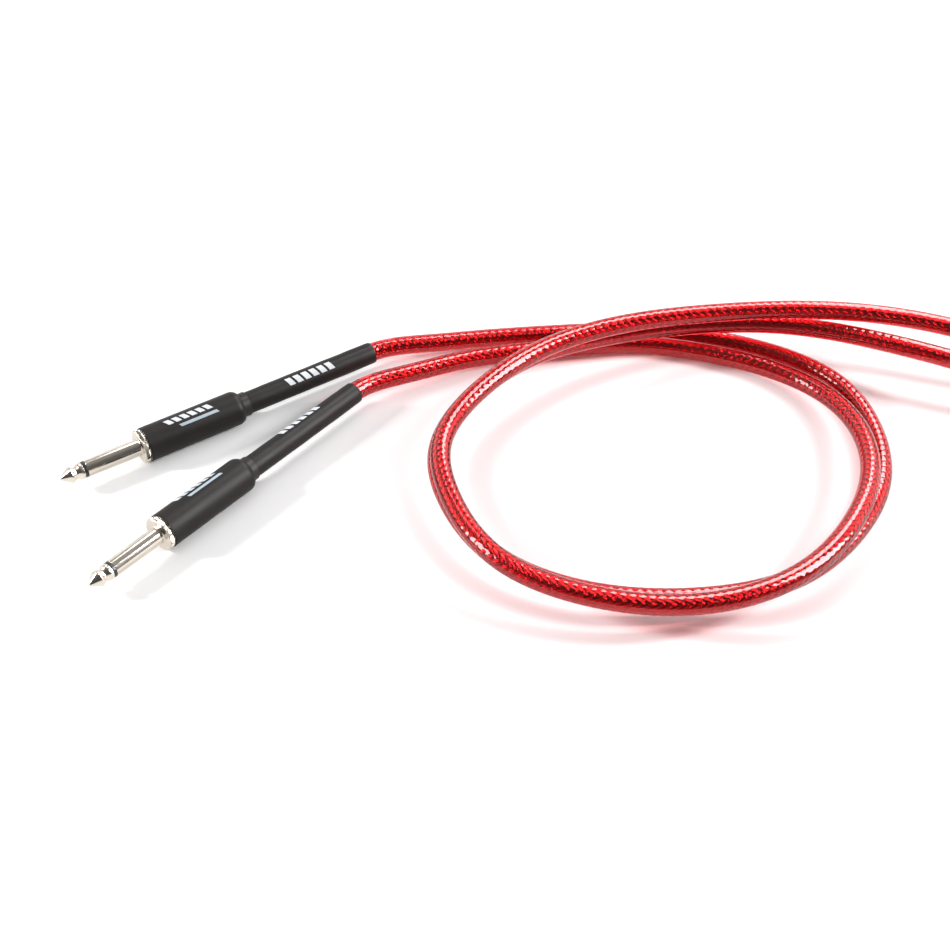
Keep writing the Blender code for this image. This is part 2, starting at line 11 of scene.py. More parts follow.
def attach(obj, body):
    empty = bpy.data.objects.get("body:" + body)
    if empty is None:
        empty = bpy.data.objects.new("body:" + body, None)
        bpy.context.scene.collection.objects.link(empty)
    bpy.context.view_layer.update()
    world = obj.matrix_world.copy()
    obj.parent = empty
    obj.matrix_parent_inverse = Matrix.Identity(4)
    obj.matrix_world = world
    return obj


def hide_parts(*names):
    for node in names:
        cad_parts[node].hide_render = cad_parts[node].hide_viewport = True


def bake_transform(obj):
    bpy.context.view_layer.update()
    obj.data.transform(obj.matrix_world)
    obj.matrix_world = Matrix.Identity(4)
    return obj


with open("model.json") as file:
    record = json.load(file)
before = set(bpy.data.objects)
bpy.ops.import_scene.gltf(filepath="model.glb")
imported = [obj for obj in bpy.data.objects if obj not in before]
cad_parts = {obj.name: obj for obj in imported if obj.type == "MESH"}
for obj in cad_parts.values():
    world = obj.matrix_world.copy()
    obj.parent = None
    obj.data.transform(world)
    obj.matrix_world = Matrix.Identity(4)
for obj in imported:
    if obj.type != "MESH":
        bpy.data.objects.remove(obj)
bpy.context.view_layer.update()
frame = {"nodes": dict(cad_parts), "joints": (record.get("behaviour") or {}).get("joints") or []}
JOINTS = {joint["name"]: joint for joint in frame["joints"]}
MM = 0.001

# ---------------------------------------------------------------- sizes, in millimetres
CABLE_R = 3.7
UNDERLAY_R = 1.935       # tube under the shield, painted dark as the shade seen between its ribbons
BRAID_R = 2.08           # mean radius of the woven shield
BRAID_RISE = 0.13        # how far a ribbon goes over and under
BRAID_CROWN = 0.17       # how much higher a ribbon's middle is than its edges
CARRIERS = 8             # ribbons in each direction
RIBBON_SHARE = 0.94      # share of its room round the cable that a ribbon covers
WIRES = 5                # wires side by side in a ribbon
LAY = 25.2               # length of one turn of a ribbon
TUBE_STEP = 1.8          # between rings of the jacket and the underlay, along the cable
WEAVE_STEP = 0.5         # between rows of the ribbons, along the cable
WEAVE_LENGTH = 900.0     # longest run of the shield kept as one piece
ROOT_REACH = 16.0        # how far the root of the coil goes past the joint where the lead swings

# distances from the tip, along the plug
FLANGE_START = 31.0
FLANGE_END = 33.0
SHELL_START = 33.3
THREAD_END = 39.3
SHOULDER_START = 70.4
NECK_END = 76.0
BOOT_END = 132.0

# radii on the plug, and the thread's pitch
THREAD_ROOT_R = 4.65
THREAD_CREST_R = 5.0
THREAD_PITCH = 1.0
FLANGE_R = 6.4
SHELL_R = 6.2
SHOULDER_R = 3.0         # rounding of the barrel's rear edge
SHOULDER_CENTRE = (SHELL_R - SHOULDER_R, SHOULDER_START)
COVER_R = 6.6
NECK_R = 4.72
BOOT_R = 4.3

# middle of the marks on barrel and boot, in degrees round the plug; 90 is up
MARK_ANGLES = {"a": (70.0, 62.0), "b": (108.0, 115.0)}

# ---------------------------------------------------------------- the lay, as in the CAD, in millimetres
TABLE_CENTRE = (127.2, -37.9)
FIRST_LOOP_UNDER = [
    (35, 81.7, 4.0), (68, 83.0, 3.9), (98, 77.5, 3.9), (124, 66, 3.9), (142, 49, 3.9),
    (150, 24, 3.9), (148, -6, 4.2), (132.5, -36, 5.2), (107, -60, 7.0), (74, -70.5, 8.8),
    (38, -68, 9.0), (7.5, -51, 8.5), (-9, -24, 8.3), (-13.5, 5, 8.3), (-2, 32.5, 9.7),
    (21, 55, 11.8), (54, 69, 12.3), (90, 75.5, 12.9), (127, 73, 14.2), (161, 57, 17.8),
]
FIRST_LOOP_OVER = [
    (30, 71.5, 4.0), (61, 74.6, 4.0), (90, 69.5, 4.1), (116, 58, 4.6), (134.5, 40, 6.4),
    (143, 15, 9.5), (141.5, -12, 11.8), (130, -39, 13.5), (109.5, -63, 14.0), (78, -77, 13.8),
    (41, -75.5, 14.2), (8, -58.5, 15.2), (-8.5, -29, 16.0), (-11.8, 0, 16.4), (2, 28, 17.9),
    (26.5, 51.5, 19.4), (59.5, 66.5, 20.2), (96, 72.5, 21.0), (133, 71.8, 22.9), (170, 66, 22.8),
]
RING_CENTRE = (313.0, -71.0)
RING_UNDER_R = 79.0
RING_OVER_R = 88.0
RING_ANGLES = (100, 80, 50, 20, -20, -60, -100, -140)
REST_HEIGHT = 4.0
TO_RING_UNDER = [(196, 40.5, 17.0), (232, 26, 10.5), (266, 14, 5.4)]
TO_RING_OVER = [(204, 55.5, 19.6), (238, 41.5, 12.0), (268, 26.5, 5.8)]
FOLD_OVER = [(226, -80), (229, -50), (246, -25), (271, -14), (296, -13), (315, -22)]
FOLD_TURN = [(322, -42)]
FOLD_UNDER = [(243.5, -106), (241.5, -92), (247, -79.5), (259, -72), (275, -69.5), (295, -68), (313, -60)]

# ---------------------------------------------------------------- looks, light and camera
WHITE = (1.0, 1.0, 1.0, 1.0)
JACKET_RIPPLE = 0.6            # how strongly the braid shows through as waves on the jacket
FLOOR_HALF = 6.0               # metres from the middle to the floor's edge
FLOOR_DROP = 0.0002            # metres from the CAD's table plane down to the floor
FLOOR_GLOW_INSIDE = 0.9        # painted glow: extra brightness of the floor as the braid sees it through the jacket
LIT_REACH = 0.60               # metres from the middle to where reflections see the table in painted shade
LIT_FADE = 0.25                # metres over which it darkens
DOME = 0.38                    # brightness of the dome on matt surfaces
SURROUND_BRIGHT = 0.9          # low surround behind, as outer surfaces reflect it
SURROUND_BRIGHT_INSIDE = 7.0   # the same, as the braid sees it through the jacket
SURROUND_DARK = 0.30           # ceiling and front, as outer surfaces reflect them
SURROUND_DARK_INSIDE = 0.03    # the same, as the braid sees them through the jacket
LIGHT_DISTANCE = 1.2           # metres from the camera's target to most lights
CAMERA_TARGET = Vector((-TABLE_CENTRE[0], -TABLE_CENTRE[1], 0.0)) * MM
CAMERA_ELEVATION = 42.0        # degrees above the table
CAMERA_DISTANCE = 0.5534       # metres from the target
CAMERA_LENS = 56.84            # millimetres, on a sensor of 36


# ---------------------------------------------------------------- places from the frame
def to_mm(point):
    """A place given in metres, as an array in millimetres."""
    return np.array(point, dtype=float) / MM


def plug_axis(side):
    """Tip of the plug and the unit vector from tip to boot."""
    turn = JOINTS[f"shell_{side}_turn"]
    return to_mm(turn["pos_m"]), np.array(turn["axis"], dtype=float)


def plug_matrix(side):
    """The plug's own frame: its tip at the origin, its axis going down its own z."""
    tip, along = plug_axis(side)
    own_z = Vector(-along)
    own_x = Vector((0.0, 0.0, 1.0)).cross(own_z).normalized()
    own_y = own_z.cross(own_x)
    turn = Matrix((own_x, own_y, own_z)).transposed().to_4x4()
    return Matrix.Translation(Vector(tip) * MM) @ turn


def flex_point(side):
    """Where the cable bends up, just behind the boot."""
    return to_mm(JOINTS[f"plug_{side}_lift"]["pos_m"])


def swing_point(side):
    """Where the lead swings on the coil."""
    return to_mm(JOINTS[f"lead_{side}_swing"]["pos_m"])


# ---------------------------------------------------------------- the cable's centre line
def ring_points(radius):
    """The second ring of the cable, lying on the table."""
    points = []
    for angle in RING_ANGLES:
        turn = math.radians(angle)
        x = RING_CENTRE[0] + radius * math.cos(turn)
        y = RING_CENTRE[1] + radius * math.sin(turn)
        points.append((x, y, REST_HEIGHT))
    return points


def on_table(points):
    return [(x, y, REST_HEIGHT) for x, y in points]


def lead_points(side):
    """From inside the barrel along the plug's axis, then bending into the lead."""
    tip, along = plug_axis(side)
    flex, swing = flex_point(side), swing_point(side)
    straight = [tip + along * s for s in (58.0, 76.0, 94.0, 112.0, 126.0, 133.5)]
    return straight + [flex + (swing - flex) * 0.45, swing]


def cable_waypoints():
    """From inside one barrel out to the fold and back into the other barrel."""
    shift = np.array((*TABLE_CENTRE, 0.0))
    under = FIRST_LOOP_UNDER + TO_RING_UNDER + ring_points(RING_UNDER_R) + on_table(FOLD_UNDER)
    over = FIRST_LOOP_OVER + TO_RING_OVER + ring_points(RING_OVER_R) + on_table(FOLD_OVER)
    middle = np.array(under + on_table(FOLD_TURN) + over[::-1], dtype=float) - shift
    return np.vstack([lead_points("a"), middle, lead_points("b")[::-1]])


def spline_through(points, per_span):
    """A natural cubic spline through the waypoints."""
    spans = np.linalg.norm(np.diff(points, axis=0), axis=1)
    count = len(points)
    system = np.eye(count)
    slopes = np.zeros((count, 3))
    for k in range(1, count - 1):
        system[k, k - 1:k + 2] = (spans[k - 1], 2.0 * (spans[k - 1] + spans[k]), spans[k])
        after = (points[k + 1] - points[k]) / spans[k]
        before = (points[k] - points[k - 1]) / spans[k - 1]
        slopes[k] = 6.0 * (after - before)
    bend = np.linalg.solve(system, slopes)
    path = []
    for k, span in enumerate(spans):
        linear = (points[k + 1] - points[k]) / span - span * (2.0 * bend[k] + bend[k + 1]) / 6.0
        cubic = (bend[k + 1] - bend[k]) / (6.0 * span)
        t = (np.arange(per_span) * span / per_span)[:, None]
        path.append(points[k] + t * linear + t * t * bend[k] / 2.0 + t ** 3 * cubic)
    return np.vstack(path + [points[-1:]])


class CentreLine:
    """Evenly spaced points along the cable, each with a frame that doesn't twist."""

    def __init__(self, waypoints, step):
        rough = spline_through(waypoints, 200)
        run = np.concatenate([[0.0], np.cumsum(np.linalg.norm(np.diff(rough, axis=0), axis=1))])
        self.length = run[-1]
        self.at = np.linspace(0.0, self.length, int(round(self.length / step)) + 1)
        self.points = np.stack([np.interp(self.at, run, rough[:, k]) for k in range(3)], axis=1)
        tangent = np.gradient(self.points, axis=0)
        tangent /= np.linalg.norm(tangent, axis=1)[:, None]
        side = np.zeros_like(tangent)
        side[0] = np.cross(tangent[0], (0.0, 0.0, 1.0))
        for k in range(1, len(side)):
            carried = side[k - 1] - tangent[k] * np.dot(side[k - 1], tangent[k])
            side[k] = carried / np.linalg.norm(carried)
        self.side = side
        self.up = np.cross(tangent, side)

    def index(self, distance):
        return int(np.clip(round(distance / self.length * (len(self.at) - 1)), 0, len(self.at) - 1))

    def nearest(self, point, low=0.0, high=1.0):
        """Distance along the cable of the point nearest to a place, searched in a share of its length."""
        first, last = self.index(low * self.length), self.index(high * self.length)
        gap = np.linalg.norm(self.points[first:last] - point, axis=1)
        return self.at[first + int(np.argmin(gap))]

    def around(self, indices, angles, radius):
        """Points round the cable; angles and radius are arrays of one row for each index."""
        sideways = np.cos(angles)[..., None] * self.side[indices][:, None]
        upward = np.sin(angles)[..., None] * self.up[indices][:, None]
        out = (sideways + upward) * np.asarray(radius)[..., None]
        return self.points[indices][:, None] + out


# ---------------------------------------------------------------- mesh helpers
def mesh_object(name, vertices, faces, uvs=None, scale=MM):
    """A smooth-shaded object; vertices are in millimetres unless scale says otherwise."""
    mesh = bpy.data.meshes.new(name)
    mesh.from_pydata((np.asarray(vertices) * scale).tolist(), [], faces)
    if uvs is not None:
        layer = mesh.uv_layers.new(name="UVMap")
        loops = np.empty(len(mesh.loops), dtype=np.int32)
        mesh.loops.foreach_get("vertex_index", loops)
        layer.data.foreach_set("uv", np.asarray(uvs, dtype=np.float32)[loops].ravel())
    mesh.validate()
    mesh.shade_smooth()
    obj = bpy.data.objects.new(name, mesh)
    bpy.context.scene.collection.objects.link(obj)
    return obj


def grid_faces(rows, columns, closed, first=0):
    """Quads over a grid of vertices, closed round its columns when asked."""
    spans = columns if closed else columns - 1
    row, column = np.meshgrid(np.arange(rows - 1), np.arange(spans), indexing="ij")
    following = (column + 1) % columns
    corners = [
        row * columns + column,
        row * columns + following,
        (row + 1) * columns + following,
        (row + 1) * columns + column,
    ]
    return (np.stack(corners, axis=-1).reshape(-1, 4) + first).tolist()


def tube_piece(name, line, start, end, radius, segments):
    """An even tube round the cable's centre line between two distances."""
    count = max(2, int(round((end - start) / TUBE_STEP)) + 1)
    indices = np.array([line.index(d) for d in np.linspace(start, end, count)])
    angles = np.tile(np.arange(segments) * 2.0 * math.pi / segments, (count, 1))
    vertices = line.around(indices, angles, np.full(angles.shape, radius)).reshape(-1, 3)
    uvs = np.stack([np.repeat(line.at[indices], segments), (angles / (2.0 * math.pi)).ravel()], axis=1)
    return mesh_object(name, vertices, grid_faces(count, segments, True), uvs)


def weave_piece(name, line, start, end, direction):
    """All ribbons of the woven shield that turn one way, between two distances.

    Each goes over two and under two of the ribbons that turn the other way.
    """
    first, last = line.index(start), line.index(end)
    indices = np.arange(first, last + 1)
    at = line.at[indices]
    half = RIBBON_SHARE * math.pi / CARRIERS
    across = np.linspace(-1.0, 1.0, 5)
    crown = BRAID_CROWN * (1.0 - across ** 2)
    vertices, faces, uvs = [], [], []
    for carrier in range(CARRIERS):
        slow = 0.05 * np.sin(at / 7.3 + 2.1 * carrier)
        quick = 0.04 * np.sin(at / 2.9 + 1.3 * carrier + direction)
        middle = 2.0 * math.pi * (carrier / CARRIERS + direction * at / LAY) + (slow + quick)
        over = np.clip(1.7 * np.cos(middle * CARRIERS / 2.0 - math.pi / 4.0), -1.0, 1.0)
        height = BRAID_R + direction * BRAID_RISE * over
        angles = middle[:, None] + half * across
        ribbon = line.around(indices, angles, height[:, None] + crown).reshape(-1, 3)
        faces += grid_faces(len(indices), len(across), False, len(vertices) * len(ribbon))
        vertices.append(ribbon)
        share = np.tile((across + 1.0) / 2.0, len(indices))
        uvs.append(np.stack([np.repeat(at, len(across)), share], axis=1))
    return mesh_object(name, np.vstack(vertices), faces, np.vstack(uvs))


def filleted(corners, radius=0.12, steps=3):
    """A profile with each inner corner rounded. Corners are (radius, along) or (radius, along, fillet)."""
    points = [np.array(c[:2], dtype=float) for c in corners]
    wanted = [c[2] if len(c) > 2 else radius for c in corners]
    closed = not (points[0][0] == 0.0 and points[-1][0] == 0.0)
    count = len(points)
    out = []
    for k, corner in enumerate(points):
        if (not closed and k in (0, count - 1)) or wanted[k] <= 0.0:
            out.append(tuple(corner))
            continue
        before, after = points[k - 1] - corner, points[(k + 1) % count] - corner
        reach = min(wanted[k], 0.45 * np.linalg.norm(before), 0.45 * np.linalg.norm(after))
        begin = corner + before / np.linalg.norm(before) * reach
        finish = corner + after / np.linalg.norm(after) * reach
        for step in range(steps + 1):
            t = step / steps
            out.append(tuple((1 - t) ** 2 * begin + 2 * t * (1 - t) * corner + t * t * finish))
    return out


def arc(centre, radius, start, end, count):
    """Points of a profile along an arc, from one angle to another in degrees, left unrounded."""
    angles = [math.radians(start + (end - start) * k / count) for k in range(count + 1)]
    return [(centre[0] + radius * math.cos(a), centre[1] + radius * math.sin(a), 0.0) for a in angles]


def lathe(name, profile, segments, matrix, shape=None):
    """A turned piece with a fine mesh. shape(radius, along, angle) may change the radius."""
    angles = np.arange(segments) * 2.0 * math.pi / segments
    closed = not (profile[0][0] == 0.0 and profile[-1][0] == 0.0)
    rows = [p for p in profile if closed or p[0] > 0.0]
    radius = np.array([p[0] for p in rows])[:, None] * np.ones(segments)
    along = np.array([p[1] for p in rows])[:, None] * np.ones(segments)
    if shape:
        radius = shape(radius, along, angles[None, :])
    vertices = np.stack([radius * np.cos(angles), radius * np.sin(angles), -along], axis=-1).reshape(-1, 3)
    faces = grid_faces(len(rows), segments, True)
    if closed:
        last = (len(rows) - 1) * segments
        faces += [[last + k, last + (k + 1) % segments, (k + 1) % segments, k] for k in range(segments)]
    else:
        top, bottom = len(vertices), len(vertices) + 1
        vertices = np.vstack([vertices, (0.0, 0.0, -profile[0][1]), (0.0, 0.0, -profile[-1][1])])
        last = (len(rows) - 1) * segments
        faces += [[top, (k + 1) % segments, k] for k in range(segments)]
        faces += [[bottom, last + k, last + (k + 1) % segments] for k in range(segments)]
    faces = [face[::-1] for face in faces]
    obj = mesh_object(name, vertices, faces)
    obj.data.set_sharp_from_angle(angle=math.radians(38.0))
    obj.matrix_world = matrix
    return obj


# ---------------------------------------------------------------- materials
class Nodes:
    """Small helper for writing the nodes of a material or of the world."""

    def __init__(self, owner, output="ShaderNodeOutputMaterial"):
        self.owner = owner
        owner.use_nodes = True
        self.tree = owner.node_tree
        self.tree.nodes.clear()
        self.output = self.tree.nodes.new(output)

    def add(self, kind, **settings):
        """A node; each setting is one of its properties or inputs, with _ for a space."""
        node = self.tree.nodes.new(kind)
        for key, value in settings.items():
            if hasattr(node, key):
                setattr(node, key, value)
            else:
                node.inputs[key.replace("_", " ")].default_value = value
        return node

    def link(self, source, target):
        self.tree.links.new(source, target)

    def math(self, operation, *values):
        node = self.add("ShaderNodeMath", operation=operation)
        for slot, value in enumerate(values):
            if isinstance(value, (int, float)):
                node.inputs[slot].default_value = value
            else:
                self.link(value, node.inputs[slot])
        return node.outputs[0]

    def ramp(self, source, stops):
        """Colours along a value, from (position, colour) stops."""
        node = self.add("ShaderNodeValToRGB")
        elements = node.color_ramp.elements
        while len(elements) < len(stops):
            elements.new(0.5)
        for element, (position, colour) in zip(elements, stops):
            element.position = position
            element.color = (*colour, 1.0)
        self.link(source, node.inputs[0])
        return node.outputs[0]

    def noise(self, stretch, **settings):
        """Noise over the object's own coordinates, which stretch scales along each axis."""
        coordinates = self.add("ShaderNodeTexCoord")
        mapping = self.add("ShaderNodeMapping", Scale=stretch)
        texture = self.add("ShaderNodeTexNoise", **settings)
        self.link(coordinates.outputs["Object"], mapping.inputs["Vector"])
        self.link(mapping.outputs["Vector"], texture.inputs["Vector"])
        return texture.outputs["Fac"]

    def bump(self, height, strength, distance):
        node = self.add("ShaderNodeBump", Strength=strength, Distance=distance)
        self.link(height, node.inputs["Height"])
        return node.outputs["Normal"]

    def mix(self, share, first, second):
        """The first shader where share is 0, the second where it is 1."""
        node = self.add("ShaderNodeMixShader")
        self.link(share, node.inputs[0])
        self.link(first.outputs[0], node.inputs[1])
        self.link(second.outputs[0], node.inputs[2])
        return node

    def seen_by_braid(self, path):
        """1 for rays that come off the braid and out through the jacket, otherwise 0."""
        through_jacket = self.math("GREATER_THAN", path.outputs["Transmission Depth"], 0.5)
        off_metal = self.math("GREATER_THAN", path.outputs["Glossy Depth"], 0.5)
        return self.math("MULTIPLY", through_jacket, off_metal)

    def finish(self, shader):
        self.link(shader.outputs[0], self.output.inputs[0])
        return self.owner


def new_material(name):
    return Nodes(bpy.data.materials.new(name))


def grey(level):
    return (level, level, level)


def cable_position(nodes):
    """Place on the cable: X in millimetres along it, Y the share of the way round it or across a ribbon."""
    place = nodes.add("ShaderNodeUVMap", uv_map="UVMap")
    parts = nodes.add("ShaderNodeSeparateXYZ")
    nodes.link(place.outputs[0], parts.inputs[0])
    return parts.outputs


def turned_metal(name, colour, roughness, marks):
    """Bright turned metal: fine rings left by the tool, faint smears and rubbed spots."""
    nodes = new_material(name)
    shader = nodes.add("ShaderNodeBsdfPrincipled", Metallic=1.0)
    rings = nodes.noise((60.0, 60.0, 9000.0), Scale=1.0, Detail=3.0, Roughness=0.6)
    smears = nodes.noise((1.0, 1.0, 0.5), Scale=240.0, Detail=4.0, Roughness=0.6)
    smeared = [c * 0.86 for c in colour]
    tint = nodes.ramp(smears, [(0.3, smeared), (0.7, colour)])
    nodes.link(tint, shader.inputs["Base Color"])
    spread = nodes.math("MULTIPLY_ADD", smears, 0.10, roughness - 0.05)
    nodes.link(spread, shader.inputs["Roughness"])
    nodes.link(nodes.bump(rings, marks, 0.00002), shader.inputs["Normal"])
    return nodes.finish(shader)


def matt_skin(name, colour, roughness, grain):
    """Heat-shrink: fine grain, slightly uneven sheen and pale scuffs."""
    nodes = new_material(name)
    shader = nodes.add("ShaderNodeBsdfPrincipled", Specular_IOR_Level=0.16)
    fine = nodes.noise((1.0, 1.0, 1.0), Scale=2600.0, Detail=4.0, Roughness=0.65)
    cloud = nodes.noise((1.0, 1.0, 0.45), Scale=170.0, Detail=5.0, Roughness=0.7)
    darker = [c * 0.82 for c in colour]
    scuffed = [c * 1.5 for c in colour]
    tint = nodes.ramp(cloud, [(0.35, darker), (0.62, colour), (0.8, scuffed)])
    nodes.link(tint, shader.inputs["Base Color"])
    spread = nodes.math("MULTIPLY_ADD", cloud, 0.22, roughness - 0.11)
    nodes.link(spread, shader.inputs["Roughness"])
    nodes.link(nodes.bump(fine, grain, 0.00006), shader.inputs["Normal"])
    return nodes.finish(shader)


def plastic(name, colour, roughness, coat=0.0):
    """Moulded plastic, film or print, hardly uneven in its colour."""
    nodes = new_material(name)
    shader = nodes.add("ShaderNodeBsdfPrincipled", Roughness=roughness, Coat_Weight=coat)
    cloud = nodes.noise((1.0, 1.0, 1.0), Scale=400.0, Detail=3.0)
    darker = [c * 0.9 for c in colour]
    tint = nodes.ramp(cloud, [(0.3, darker), (0.7, colour)])
    nodes.link(tint, shader.inputs["Base Color"])
    nodes.link(nodes.bump(cloud, 0.05, 0.00005), shader.inputs["Normal"])
    return nodes.finish(shader)


def ripple_over_braid(nodes):
    """Height of the waves on the jacket, in the pattern of the braid below."""
    place = cable_position(nodes)
    along = nodes.math("MULTIPLY", place["X"], 2.0 * math.pi * CARRIERS / LAY)
    around = nodes.math("MULTIPLY", place["Y"], math.pi * CARRIERS)
    return nodes.math("MULTIPLY", nodes.math("SINE", along), nodes.math("COSINE", around))


def shine_on_top(nodes):
    """Specular level of the jacket: strong where it faces up, weak on its flanks."""
    geometry = nodes.add("ShaderNodeNewGeometry")
    parts = nodes.add("ShaderNodeSeparateXYZ")
    nodes.link(geometry.outputs["Normal"], parts.inputs[0])
    level = nodes.add("ShaderNodeMapRange", From_Min=0.1, From_Max=0.5, To_Min=0.05, To_Max=0.62)
    nodes.link(parts.outputs["Z"], level.inputs["Value"])
    return level.outputs["Result"]


def red_jacket():
    """Clear red vinyl: deep red seen straight on, with a painted pale sheen towards its rims, and a tinted
    shadow.
    """
    nodes = new_material("clear_red_jacket")
    facing = nodes.add("ShaderNodeLayerWeight", Blend=0.5)
    # painted sheen: the colour by facing runs from deep red seen straight on to pale pink at the rims
    tint = nodes.ramp(facing.outputs["Facing"], [
        (0.0, (0.81, 0.018, 0.028)),
        (0.55, (0.85, 0.03, 0.04)),
        (0.85, (0.95, 0.26, 0.28)),
        (1.0, (1.0, 0.70, 0.70)),
    ])
    vinyl = nodes.add("ShaderNodeBsdfPrincipled", Roughness=0.05, IOR=1.5, Transmission_Weight=1.0)
    nodes.link(tint, vinyl.inputs["Base Color"])
    nodes.link(shine_on_top(nodes), vinyl.inputs["Specular IOR Level"])
    nodes.link(nodes.bump(ripple_over_braid(nodes), JACKET_RIPPLE, 0.00007), vinyl.inputs["Normal"])
    path = nodes.add("ShaderNodeLightPath")
    inside = nodes.math("GREATER_THAN", path.outputs["Transmission Depth"], 0.5)
    shadow_tint = nodes.ramp(inside, [(0.0, (0.93, 0.70, 0.70)), (1.0, (0.80, 0.20, 0.21))])
    shadow = nodes.add("ShaderNodeBsdfTransparent")
    nodes.link(shadow_tint, shadow.inputs["Color"])
    return nodes.finish(nodes.mix(path.outputs["Is Shadow Ray"], vinyl, shadow))


def woven_wire():
    """Fine tinned wires side by side in each ribbon of the shield, with painted shade in the grooves between
    them.
    """
    nodes = new_material("woven_wire")
    shader = nodes.add("ShaderNodeBsdfPrincipled", Metallic=1.0, Roughness=0.22)
    across = cable_position(nodes)["Y"]
    wires = nodes.math("SINE", nodes.math("MULTIPLY", across, 2.0 * math.pi * WIRES))
    crest = nodes.math("MULTIPLY_ADD", wires, 0.5, 0.5)
    # painted shade: the base colour is near black in the grooves between the wires and light on their crests
    tint = nodes.ramp(crest, [(0.0, (0.07, 0.045, 0.04)), (0.7, (0.56, 0.42, 0.36))])
    nodes.link(tint, shader.inputs["Base Color"])
    nodes.link(nodes.bump(wires, 0.2, 0.00006), shader.inputs["Normal"])
    return nodes.finish(shader)


MATERIALS = {
    "nickel": turned_metal("bright_nickel", (0.84, 0.77, 0.68), 0.16, 0.25),
    "shell_metal": turned_metal("plain_turned_shell", (0.74, 0.70, 0.62), 0.30, 0.5),
    "brass": turned_metal("tinned_brass", (0.72, 0.62, 0.42), 0.34, 0.3),
    "solder": turned_metal("solder", (0.74, 0.74, 0.76), 0.26, 0.1),
    "tinned_copper": turned_metal("tinned_copper", (0.72, 0.60, 0.52), 0.34, 0.3),
    "black_ring": plastic("black_plastic", (0.012, 0.012, 0.013), 0.32, 0.2),
    "heat_shrink": matt_skin("heat_shrink", (0.0190, 0.0158, 0.0150), 0.44, 0.35),
    "neck": matt_skin("neck_rubber", (0.032, 0.028, 0.027), 0.40, 0.2),
    "liner": plastic("liner_film", (0.50, 0.53, 0.50), 0.35),
    "dielectric": plastic("natural_insulation", (0.82, 0.80, 0.74), 0.4),
    # painted shade: the underlay is near black, so that the gaps between the ribbons read as shade
    "underlay": plastic("underlay_painted_shade", (0.10, 0.006, 0.007), 0.5),
    "white_print": plastic("white_print", (0.66, 0.69, 0.72), 0.5),
    "blue_print": plastic("pale_blue_print", (0.40, 0.49, 0.56), 0.5),
    "red_jacket": red_jacket(),
    "braid": woven_wire(),
}


def finish_piece(obj, finish, body=None):
    """Gives a piece its look and slot, and lets it ride on a body when one is named."""
    obj.data.materials.clear()
    obj.data.materials.append(MATERIALS[finish])
    if body:
        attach(obj, body)
    return obj


# ---------------------------------------------------------------- the cable
def cable_sections(line):
    """(name, start, end, how it moves) of each length of cable.

    How it moves is None for the coil. For the others it is the two bodies it joins, the distance
    of the joint between them, and where the bend begins and ends, counted from that joint.
    """
    flex_a = line.nearest(flex_point("a"), 0.0, 0.2)
    flex_b = line.nearest(flex_point("b"), 0.8, 1.0)
    swing_a = line.nearest(swing_point("a"), 0.0, 0.2)
    swing_b = line.nearest(swing_point("b"), 0.8, 1.0)
    lead_end_a = (flex_a + swing_a) / 2
    lead_end_b = (flex_b + swing_b) / 2
    root_end_a = swing_a + ROOT_REACH
    root_end_b = swing_b - ROOT_REACH
    return [
        ("lead_a", 0.0, lead_end_a, ("plug_a", "lead_a", flex_a, -6.0, 11.0)),
        ("root_a", lead_end_a, root_end_a, ("lead_a", "cable_coil", swing_a, -12.0, 12.0)),
        ("coil", root_end_a, root_end_b, None),
        ("root_b", root_end_b, lead_end_b, ("cable_coil", "lead_b", swing_b, -12.0, 12.0)),
        ("lead_b", lead_end_b, line.length, ("lead_b", "plug_b", flex_b, -11.0, 6.0)),
    ]


# CAD nodes that the jacket, the underlay and the braid of each length stand for
JACKET_NODES = {
    "lead_a": ["jacket_end_a"],
    "root_a": ["jacket_lead_a"],
    "coil": ["jacket_coil"],
    "root_b": ["jacket_lead_b"],
    "lead_b": ["jacket_end_b"],
}
UNDERLAY_NODES = {
    "root_a": ["core_lead_a", "conductor_lead_a"],
    "root_b": ["core_lead_b", "conductor_lead_b"],
}
BRAID_NODES = {
    "lead_a": ["braid_end_a"],
    "root_a": ["braid_lead_a"],
    "coil": ["shielded_core_coil"],
    "root_b": ["braid_lead_b"],
    "lead_b": ["braid_end_b"],
}


def move_with(obj, how):
    """Lets a length of cable ride on the coil; any other length only has its placement baked into its mesh.
    """
    if how is None:
        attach(obj, "cable_coil")
        return
    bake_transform(obj)


def cable_weave(line, name, start, end, how):
    """The ribbons of one length of cable, each way round, in pieces that aren't too long."""
    runs = max(1, int(math.ceil((end - start) / WEAVE_LENGTH)))
    cuts = np.linspace(start, end, runs + 1)
    for part, (first, last) in enumerate(zip(cuts, cuts[1:])):
        for direction, label in ((1, "right"), (-1, "left")):
            piece = weave_piece(f"weave_{name}_{label}_{part}", line, first, last, direction)
            move_with(finish_piece(piece, "braid"), how)
            if part == 0 and direction == 1:
                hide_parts(*BRAID_NODES[name])


def cable():
    """Jacket, underlay painted dark as shade, and woven shield, from inside one barrel to inside the other.
    """
    line = CentreLine(cable_waypoints(), WEAVE_STEP)
    for name, start, end, how in cable_sections(line):
        jacket = tube_piece(f"clear_jacket_{name}", line, start, end, CABLE_R, 40)
        move_with(finish_piece(jacket, "red_jacket"), how)
        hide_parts(*JACKET_NODES[name])
        underlay = tube_piece(f"underlay_{name}", line, start, end, UNDERLAY_R, 12)
        move_with(finish_piece(underlay, "underlay"), how)
        if name in UNDERLAY_NODES:
            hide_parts(*UNDERLAY_NODES[name])
        cable_weave(line, name, start, end, how)


# ---------------------------------------------------------------- the plugs
def knurl(count, depth, low, high):
    """Fine straight teeth round a rim, between two distances."""
    def shape(radius, along, angle):
        on_rim = (radius > FLANGE_R - 0.32) & (along >= low) & (along <= high)
        wave = np.abs(((angle * count / (2.0 * math.pi)) % 1.0) * 2.0 - 1.0)
        return radius - on_rim * depth * wave
    return shape


